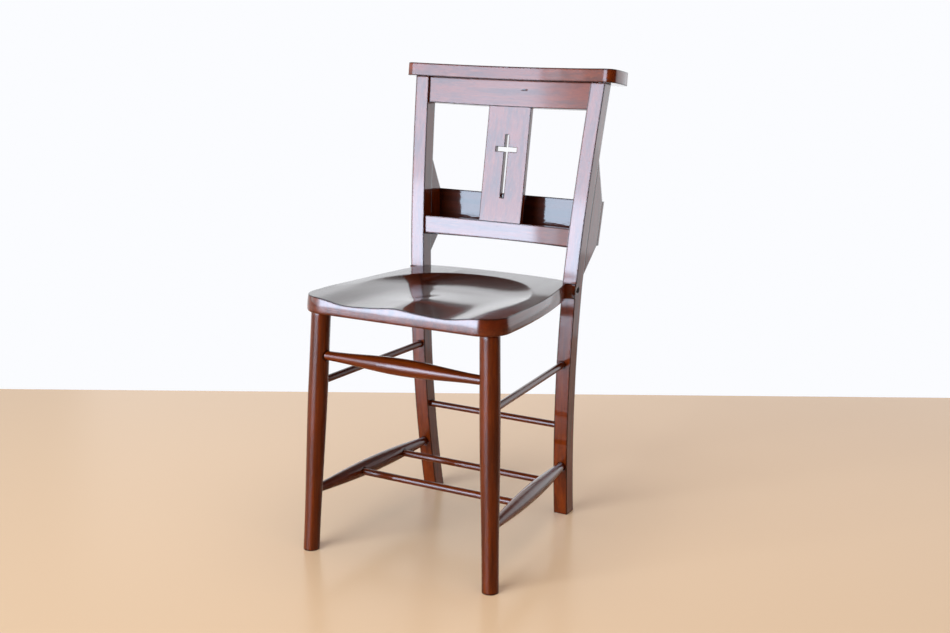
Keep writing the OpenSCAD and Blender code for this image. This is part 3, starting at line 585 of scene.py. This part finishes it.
    def hollow(self, across: float, back: float) -> float:
        """Gives the depth of the hollow under the top plane, below zero outside its rim.

        Args:
            across: distance from the middle.
            back: distance behind the front edge.

        Returns:
            The depth in metres.
        """
        share = min(max((back - self.run_start) / (self.run_end - self.run_start), 0.0), 1.0)
        share = share * share * (3 - 2 * share)
        bowl = self.bowl(back + self.rim_curve * across * across) - self.flank_rise * (
            abs(across) / self.flank_reach) ** self.flank_power
        beyond = max(abs(across) - self.crest_offset, 0.0) / self.roll_width
        border = (self.crest_depth * min(abs(across) / self.crest_offset, 1.0) ** self.crest_power
                  + self.roll_depth * beyond * beyond) * share
        depth = self.front_line(across) * (1 - share) + bowl * share - border
        run_out = (self.rim_ease + self.front_ease * (1 - share)) * MM
        if depth / run_out > self.ease_limit:
            return depth + border
        return run_out * math.log1p(math.exp(depth / run_out)) - self.ease_lift + border

    def half_outline(self, up: float) -> list[tuple[float, float, float]]:
        """Gives the right half of the board's outline at one level, from the front's middle to the rear's.

        Args:
            up: the level above the top plane, below zero.

        Returns:
            Across, back and the share of the edge's crown at each point.
        """
        corner_x = self.half_width - self.corner_radius
        points = [(corner_x * n / self.front_steps, 0.0, 1.0) for n in range(self.front_steps)]
        for n in range(self.corner_steps + 1):
            turn = math.pi / 2 * n / self.corner_steps
            points.append((corner_x + self.corner_radius * math.sin(turn),
                           self.corner_radius * (1 - math.cos(turn)), 1.0))
        for n in range(1, self.side_steps + 1):
            back = self.corner_radius + (self.flare_back - self.corner_radius) * n / self.side_steps
            points.append((self.half_width - self.side_radius
                           + math.sqrt(self.side_radius ** 2 - (back - self.corner_radius) ** 2), back, 1.0))
        hollow_x = points[-1][0] + self.flare_radius
        for n in range(1, self.flare_steps + 1):
            turn = math.pi / 2 * n / self.flare_steps
            points.append((hollow_x - self.flare_radius * math.cos(turn),
                           self.flare_back + self.flare_radius * math.sin(turn), 1 - n / self.flare_steps))
        level = self.height - self.flare_back * math.sin(self.fall) + up
        middle_back, middle_up = self.post_middle
        post_front = middle_back - math.sqrt(self.post_radius ** 2 - (level - middle_up) ** 2)
        post_back = (post_front - self.front - up * math.sin(self.fall)) / math.cos(self.fall) - self.fit
        inner = self.post_inner[0] + self.post_lean * (level - self.post_inner[1])
        outer = inner + self.post_width
        inner -= self.fit
        points.append((outer, post_back - self.flare_end, 0.0))
        points.append((outer, post_back, 0.0))
        points.append((inner, post_back, 0.0))
        for n in range(self.rear_steps):
            across = inner * (1 - n / self.rear_steps)
            back = self.depth - self.rear_radius + math.sqrt(self.rear_radius ** 2 - across ** 2)
            points.append((across, back, 0.0))
        points.append((0.0, self.depth, 0.0))
        return points

    def outline(self, up: float, inset: float) -> list[Vector]:
        """Gives the board's whole outline at one level.

        Args:
            up: the level above the top plane, below zero.
            inset: how far the crowned edge stands back from its fullest line there.

        Returns:
            The points in the chair's frame, once round.
        """
        half = self.half_outline(up)
        points = half + [(-x, back, share) for x, back, share in reversed(half[1:-1])]
        placed = []
        for number, (across, back, share) in enumerate(points):
            before, after = points[number - 1], points[(number + 1) % len(points)]
            along = Vector((after[0] - before[0], after[1] - before[1])).normalized()
            placed.append(self.at(across - along.y * inset * share, back + along.x * inset * share, up))
        return placed

    def rings(self) -> list[tuple[float, float]]:
        """Lists the levels of the board's edge from below, each with its inset."""
        levels = []
        for n in range(self.arris_steps):
            turn = math.pi / 2 * n / self.arris_steps
            levels.append((-self.thickness + self.lower_arris * (1 - math.cos(turn)),
                           self.lower_arris * (1 - math.sin(turn))))
        levels += [((self.lower_arris - self.thickness) * (1 - n / self.edge_steps), 0.0)
                   for n in range(self.edge_steps + 1)]
        crowned = []
        for up, inset in levels:
            off_middle = (up - self.crown_level) / self.crown_level
            crowned.append((up, inset + self.edge_crown * off_middle * off_middle))
        return crowned

    def board(self) -> bpy.types.Object:
        """Extrudes the board ring by ring from a filled circle whose points lie on the outline."""
        levels = self.rings()
        first = self.outline(*levels[0])
        bpy.ops.mesh.primitive_circle_add(vertices=len(first), radius=self.half_width, fill_type="NGON")
        board = bpy.context.active_object
        for vertex, place in zip(board.data.vertices, first):
            vertex.co = place
        ring = first
        for level in levels[1:]:
            bpy.ops.object.mode_set(mode="EDIT")
            bpy.ops.mesh.extrude_region_move(TRANSFORM_OT_translate={"value": (0.0, 0.0, 0.0)})
            bpy.ops.object.mode_set(mode="OBJECT")
            following = self.outline(*level)
            for vertex in board.data.vertices:
                if vertex.select:
                    number = min(range(len(ring)), key=lambda n: (ring[n] - vertex.co).length_squared)
                    vertex.co = following[number]
            ring = following
        return board

    def cutter(self) -> bpy.types.Object:
        """Shapes a grid to the hollow and extrudes it upwards, as a tool that cuts the board's top."""
        wide, deep = self.grid_size
        bpy.ops.mesh.primitive_grid_add(x_subdivisions=round(wide / self.grid_step),
                                        y_subdivisions=round(deep / self.grid_step), size=1.0)
        cutter = bpy.context.active_object
        for vertex in cutter.data.vertices:
            across, back = vertex.co.x * wide, (vertex.co.y + 0.5) * deep - self.grid_lead
            vertex.co = self.at(across, back, -self.hollow(across, back))
        bpy.ops.object.mode_set(mode="EDIT")
        bpy.ops.mesh.select_all(action="SELECT")
        bpy.ops.mesh.extrude_region_move(TRANSFORM_OT_translate={"value": (0.0, 0.0, 2 * self.thickness)})
        bpy.ops.mesh.select_all(action="SELECT")
        bpy.ops.mesh.normals_make_consistent(inside=False)
        bpy.ops.object.mode_set(mode="OBJECT")
        return cutter

    def holes(self) -> list[bpy.types.Object]:
        """Adds the shapes of the leg sockets and of the screw holes."""
        shapes = []
        for side in (-1, 1):
            way = Vector((side * self.socket_way[0], *self.socket_way[1:]))
            start = Vector((side * self.socket_place[0], *self.socket_place[1:]))
            bpy.ops.mesh.primitive_cylinder_add(
                vertices=48, radius=self.socket_radius, depth=self.socket_length,
                location=start + way * self.socket_length / 2,
                rotation=way.to_track_quat("Z", "Y").to_euler())
            shapes.append(bpy.context.active_object)
            bpy.ops.mesh.primitive_cylinder_add(
                vertices=24, radius=self.screw_hole_radius, depth=self.screw_hole_length,
                location=(side * self.screw_hole[0], *self.screw_hole[1:]), rotation=(0.0, math.pi / 2, 0.0))
            shapes.append(bpy.context.active_object)
        return shapes

    def cut(self, board: bpy.types.Object, shape: bpy.types.Object) -> None:
        """Cuts a shape out of the board and removes the shape."""
        modifier = board.modifiers.new("cut", "BOOLEAN")
        modifier.operation = "DIFFERENCE"
        modifier.solver = "EXACT"
        modifier.object = shape
        bpy.context.view_layer.objects.active = board
        bpy.ops.object.modifier_apply(modifier="cut")
        bpy.data.objects.remove(shape)

    def crisp_edges(self, board: bpy.types.Object) -> None:
        """Shades the board smooth and keeps its arrises and the hollow's rim crisp.

        Args:
            board: the finished board.
        """
        shape = bmesh.new()
        shape.from_mesh(board.data)
        for face in shape.faces:
            face.smooth = True
        for edge in shape.edges:
            if len(edge.link_faces) == 2:
                both_on_top = all(face.normal.z > self.top_normal for face in edge.link_faces)
                limit = self.top_crease if both_on_top else self.edge_crease
                edge.smooth = edge.calc_face_angle(0.0) < limit
        shape.to_mesh(board.data)
        shape.free()

    def build(self) -> bpy.types.Object:
        """Builds, dresses and places the seat in the stead of its CAD node, and returns it."""
        bpy.ops.object.select_all(action="DESELECT")
        board = self.board()
        board.name = "saddled_seat_board"
        bpy.ops.object.mode_set(mode="EDIT")
        bpy.ops.mesh.select_all(action="SELECT")
        bpy.ops.mesh.normals_make_consistent(inside=False)
        bpy.ops.object.mode_set(mode="OBJECT")
        for shape in [self.cutter()] + self.holes():
            self.cut(board, shape)
        self.crisp_edges(board)
        board.data.materials.append(
            self.finish.build("gloss_lacquered_stained_wood_seat", Grain.FORE_AND_AFT, self.grain_shift))
        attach(board, "root")
        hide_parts("seat")
        log.info("seat board with %d faces", len(board.data.polygons))
        return board


@dataclass(frozen=True)
class Lamp:
    """A soft rectangular lamp that faces the chair: its middle, its size in metres and its linear colour.

    Its radiance is its brightness, where 1 renders as white.
    """

    name: str
    place: tuple[float, float, float]
    size: tuple[float, float]
    radiance: float
    colour: tuple[float, float, float]
    reach: Reach


# What the lacquer mirrors of the room, from the window's bright panes to the glow round them and the walls
MIRRORED_ROOM = (
    Lamp("window_low", (-2.00, -5.66, 0.72), (3.5, 1.45), 7.2, WINDOW_LIGHT, Reach.LACQUER),
    Lamp("window_high", (-1.85, -5.71, 1.45), (3.7, 2.8), 8.4, WINDOW_LIGHT, Reach.LACQUER),
    Lamp("window_frame", (-1.97, -5.67, 1.45), (4.6, 3.0), 3.3, WINDOW_LIGHT, Reach.LACQUER),
    Lamp("window_curtains", (-2.15, -5.60, 1.45), (5.6, 3.3), 2.0, WINDOW_LIGHT, Reach.LACQUER),
    Lamp("window_glow", (-2.33, -5.53, 1.60), (6.6, 3.6), 1.1, WINDOW_LIGHT, Reach.LACQUER),
    Lamp("left_wall", (-5.3, -3.1, 1.2), (5.2, 2.4), 2.2, PALE_WALL_LIGHT, Reach.LACQUER),
    Lamp("right_rear_window", (1.25, 1.90, 0.55), (1.6, 1.5), 0.7, PALE_WALL_LIGHT, Reach.LACQUER),
)
# What lights the chair and the floor
LIGHTING = (
    Lamp("window_light", (-1.97, -5.67, 1.45), (4.6, 3.0), 16.5, WINDOW_LIGHT, Reach.UNMIRRORED),
    Lamp("overhead", (0.3, -0.4, 2.8), (2.6, 2.6), 1.1, WARM_LIGHT, Reach.UNMIRRORED),
    Lamp("white_wall", (-0.6, 3.6, 1.2), (7.0, 2.4), 0.40, WHITE_WALL_LIGHT, Reach.EVERYTHING),
)


@dataclass
class Studio:
    """A pale floor, white paper, the room that the lacquer mirrors, soft lamps and the camera."""

    chair: list[bpy.types.Object]
    # The camera's place, its axes in the chair's frame and its lens, all solved from the photograph
    camera_place: tuple[float, float, float] = (1.02847, -1.89503, 0.91640)
    camera_right: tuple[float, float, float] = (0.88249637, 0.47023175, 0.00906948)
    camera_down: tuple[float, float, float] = (0.11956384, -0.20565503, -0.97129321)
    camera_forward: tuple[float, float, float] = (-0.45486772, 0.85824711, -0.23771253)
    lens: float = 47.927
    sensor: float = 36.0
    # The place on the chair that the lamps face
    aim: tuple[float, float, float] = (0.0, 0.0, 0.60)
    # Distances from the camera along the view: the floor's edges, and the depth of the paper behind it
    floor_near: float = -1.6
    mirrored_floor_near: float = -3.0
    floor_reach: float = 2.955
    paper_depth: float = 5.0
    floor_width: float = 9.0
    mirrored_floor_drop: float = 2 * MM
    floor_colour: str = "#eec398"
    paper_colour: str = "#fbfcff"
    lit_paper_colour: str = "#e8e8ea"
    fill: float = 0.28
    # The way to the wall behind the chair, its brightness in mirrors by the cosine to it, its fade upwards
    wall_way: tuple[float, float, float] = (-0.4683, 0.8836, 0.0)
    wall_glow: Span = Span(0.05, 0.42, 0.07, 0.9)
    wall_fade: Span = Span(0.42, 0.62, 1.0, 0.3)

    def __post_init__(self) -> None:
        """Gathers what mirrors the room: the chair's pieces, to which floor() adds a sheet."""
        self.lacquered = bpy.data.collections.new("lacquered_pieces")
        for piece in self.chair:
            self.lacquered.objects.link(piece)

    def camera(self) -> None:
        """Adds the camera at the photograph's place and viewing angle."""
        data = bpy.data.cameras.new("camera")
        data.lens = self.lens
        data.sensor_width = self.sensor
        data.sensor_fit = "HORIZONTAL"
        camera = bpy.data.objects.new("camera", data)
        right, down, forward = (Vector(v) for v in (self.camera_right, self.camera_down, self.camera_forward))
        turn = Matrix((right, -down, -forward)).transposed().to_4x4()
        camera.matrix_world = Matrix.Translation(self.camera_place) @ turn
        bpy.context.scene.collection.objects.link(camera)
        bpy.context.scene.camera = camera
        bpy.context.scene.view_settings.view_transform = "Standard"
        log.info("camera at %s", self.camera_place)

    def sheet(self, name: str, near: float, far: float, material: bpy.types.Material) -> bpy.types.Object:
        """Adds a flat stage sheet on the ground between two distances from the camera.

        Args:
            name: the object's name.
            near: distance of the nearer edge along the view, in metres.
            far: distance of the farther edge along the view, in metres.
            material: the sheet's material.

        Returns:
            The sheet.
        """
        ahead = Vector((self.camera_forward[0], self.camera_forward[1], 0)).normalized()
        aside = Vector((ahead.y, -ahead.x, 0))
        start = Vector((self.camera_place[0], self.camera_place[1], 0))
        half = self.floor_width / 2
        corners = [start + ahead * along + aside * across
                   for along, across in ((near, -half), (near, half), (far, half), (far, -half))]
        mesh = bpy.data.meshes.new(name)
        mesh.from_pydata([tuple(c) for c in corners], [], [(0, 1, 2, 3)])
        mesh.materials.append(material)
        sheet = bpy.data.objects.new(name, mesh)
        bpy.context.scene.collection.objects.link(sheet)
        return sheet

    def floor(self) -> None:
        """Lays the floor twice: as the camera sees it, and as the lacquer mirrors it, with a gloss on it."""
        material = self.floor_material()
        seen = self.sheet("floor", self.floor_near, self.floor_reach, material)
        mirrored = self.sheet("floor_in_mirrors", self.mirrored_floor_near, self.floor_reach, material)
        # A little lower, so that it doesn't hide the room from the gloss of the floor that the camera sees
        mirrored.location.z = -self.mirrored_floor_drop
        seen.visible_glossy = seen.visible_shadow = False
        mirrored.visible_camera = mirrored.visible_diffuse = mirrored.visible_shadow = False
        self.lacquered.objects.link(mirrored)

    def floor_material(self) -> bpy.types.Material:
        """Makes the plain pale floor: a varnished surface that mirrors the feet softly."""
        material, tree = new_tree("pale_varnished_floor")
        surface = add_node(tree, "ShaderNodeBsdfPrincipled", inputs={
            "Base Color": linear(self.floor_colour), "Roughness": 0.24, "IOR": 1.45,
            "Specular IOR Level": 0.3})
        output(tree, surface.outputs["BSDF"])
        return material

    def paper_material(self) -> bpy.types.Material:
        """Makes the white backdrop paper, which camera and mirrored rays see as plain white."""
        material, tree = new_tree("white_backdrop_paper")
        path = add_node(tree, "ShaderNodeLightPath")
        seen = add_node(tree, "ShaderNodeMath", {"operation": "MAXIMUM"}, {
            0: path.outputs["Is Camera Ray"], 1: path.outputs["Is Glossy Ray"]})
        seen = add_node(tree, "ShaderNodeMath", {"operation": "MAXIMUM"}, {
            0: seen.outputs[0], 1: path.outputs["Is Transmission Ray"]})
        paper = add_node(tree, "ShaderNodeBsdfDiffuse", inputs={"Color": linear(self.lit_paper_colour)})
        glow = add_node(tree, "ShaderNodeEmission", inputs={
            "Color": linear(self.paper_colour), "Strength": 1.0})
        mixed = add_node(tree, "ShaderNodeMixShader", inputs={
            0: seen.outputs[0], 1: paper.outputs[0], 2: glow.outputs[0]})
        output(tree, mixed.outputs[0])
        return material

    def world(self) -> None:
        """Sets a white background, mirrored as a wall behind the chair, and a soft fill from all round."""
        world = bpy.data.worlds.new("studio_room")
        bpy.context.scene.world = world
        world.use_nodes = True
        tree = world.node_tree
        tree.nodes.clear()
        path = add_node(tree, "ShaderNodeLightPath")
        place = add_node(tree, "ShaderNodeTexCoord")
        towards = add_node(tree, "ShaderNodeVectorMath", {"operation": "DOT_PRODUCT"}, {
            0: place.outputs["Generated"], 1: self.wall_way})
        height = add_node(tree, "ShaderNodeSeparateXYZ", inputs={"Vector": place.outputs["Generated"]})
        wall = add_node(tree, "ShaderNodeMath", {"operation": "MULTIPLY"}, {
            0: self.wall_glow.over(tree, towards.outputs["Value"]),
            1: self.wall_fade.over(tree, height.outputs["Z"])})
        mirrored = add_node(tree, "ShaderNodeMath", {"operation": "MAXIMUM"}, {
            0: path.outputs["Is Glossy Ray"], 1: path.outputs["Is Transmission Ray"]})
        strength = add_node(tree, "ShaderNodeMix", {"data_type": "FLOAT"}, {
            0: mirrored.outputs[0], 2: self.fill, 3: wall.outputs[0]})
        strength = add_node(tree, "ShaderNodeMix", {"data_type": "FLOAT"}, {
            0: path.outputs["Is Camera Ray"], 2: strength.outputs[0], 3: 1.0})
        sky = add_node(tree, "ShaderNodeBackground", inputs={
            "Color": linear(self.paper_colour), "Strength": strength.outputs[0]})
        add_node(tree, "ShaderNodeOutputWorld", inputs={"Surface": sky.outputs[0]})

    def light(self, lamp: Lamp) -> None:
        """Adds a lamp that the camera doesn't see.

        Args:
            lamp: the lamp's place, size, brightness, colour and reach.
        """
        width, height = lamp.size
        data = bpy.data.lights.new(lamp.name, "AREA")
        data.shape = "RECTANGLE"
        data.size, data.size_y = width, height
        data.energy = WATTS_OF_WHITE * lamp.radiance * width * height
        data.color = lamp.colour
        light = bpy.data.objects.new(lamp.name, data)
        light.location = lamp.place
        facing = Vector(self.aim) - Vector(lamp.place)
        light.rotation_euler = facing.to_track_quat("-Z", "Y").to_euler()
        light.visible_camera = False
        light.visible_glossy = lamp.reach is not Reach.UNMIRRORED
        light.visible_diffuse = lamp.reach is not Reach.LACQUER
        if lamp.reach is Reach.LACQUER:
            light.light_linking.receiver_collection = self.lacquered
        bpy.context.scene.collection.objects.link(light)
        log.info("lamp %s", lamp.name)

    def build(self) -> None:
        """Sets up camera, ground, world and lamps."""
        self.camera()
        self.floor()
        self.sheet("paper", self.floor_reach, self.floor_reach + self.paper_depth, self.paper_material())
        self.world()
        for lamp in MIRRORED_ROOM + LIGHTING:
            self.light(lamp)


def sub_assemblies(lacquer: LacqueredMahoganyStain) -> list[WoodenPieces]:
    """Lists the wooden sub-assemblies that keep their CAD shape, each with its own finish.

    Args:
        lacquer: the finish of most pieces.

    Returns:
        The sub-assemblies, in the order in which they are dressed.
    """
    across, fore_and_aft, upright = Grain.ACROSS, Grain.FORE_AND_AFT, Grain.UPRIGHT
    # The turned pieces took up more stain, and their film, like that on the cap and in the box, mirrors less
    turned = replace(lacquer, deep="#2c0b02", body="#5e2002", bright="#7b3507", film_ior=1.37, film_wave=0.07)
    turned_leg = replace(turned, arris_radius=6 * MM, film_ior=1.32)
    cap = replace(lacquer, arris_radius=4.6 * MM, film_ior=1.37)
    crest = replace(lacquer, knot=(27 * MM, 773 * MM), film_roughness=0.15)
    splat = replace(lacquer, arris_radius=2.6 * MM)
    # Inside the box, faces that look to the front are painted darker: painted shade
    box_inside = replace(lacquer, shaded_way=(0.0, -1.0, 0.0), facing_shade=0.75,
                         waves=Pattern(5 * MM, 15 * MM, 1), film_wave=0.35, film_ior=1.34)
    return [
        WoodenPieces("front legs", {"front_leg_left": upright, "front_leg_right": upright}, turned_leg,
                     first_shift=5.2),
        WoodenPieces("rear posts", {"rear_post_left": upright, "rear_post_right": upright}, lacquer,
                     first_shift=12.9),
        WoodenPieces("top cap", {"top_cap": across}, cap, first_shift=21.3),
        WoodenPieces("crest rail", {"crest_rail": across}, crest, first_shift=24.4),
        WoodenPieces("splat", {"splat": upright}, splat, first_shift=27.5),
        WoodenPieces("lower back rail", {"lower_back_rail": across}, lacquer, first_shift=30.6),
        WoodenPieces("book box sides", {"box_side_left": upright, "box_side_right": upright}, lacquer,
                     first_shift=36.8),
        WoodenPieces("book box inside", {"box_back_panel": across, "box_floor": across}, box_inside,
                     first_shift=43.0),
        WoodenPieces("stretchers", {
            "front_stretcher": across, "upper_side_stretcher_left": fore_and_aft,
            "upper_side_stretcher_right": fore_and_aft, "lower_side_stretcher_left": fore_and_aft,
            "lower_side_stretcher_right": fore_and_aft, "cross_stretcher_front": across,
            "cross_stretcher_rear": across, "rear_stretcher": across}, turned, first_shift=52.6),
    ]


def main() -> None:
    """Dresses the chair, sub-assembly by sub-assembly, and builds the studio round it."""
    logging.basicConfig(level=logging.INFO, format="%(name)s: %(message)s")
    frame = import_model()
    nodes = frame["nodes"]
    lacquer = LacqueredMahoganyStain()
    for assembly in sub_assemblies(lacquer):
        assembly.build(nodes)
    # The seat's upward faces are painted darker: painted shade on its top
    seat_lacquer = replace(lacquer, body="#5a1d03", arris_radius=4.5 * MM, facing_shade=0.8,
                           film_roughness=0.10, film_ior=1.45)
    board = SaddledSeat(seat_lacquer).build()
    dress(nodes["cap_dowels"], BareBeech().build("bare_turned_beech_upright", Grain.UPRIGHT))
    dress(nodes["box_dowels"], BareBeech().build("bare_turned_beech_fore_and_aft", Grain.FORE_AND_AFT))
    dress(nodes["seat_screws"], ZincPlatedSteel().build("zinc_plated_rolled_steel"))
    dress(nodes["seat_screw_plugs"], BlackPlug().build("black_stained_plug"))
    Studio([*nodes.values(), board]).build()


if __name__ == "__main__":
    main()
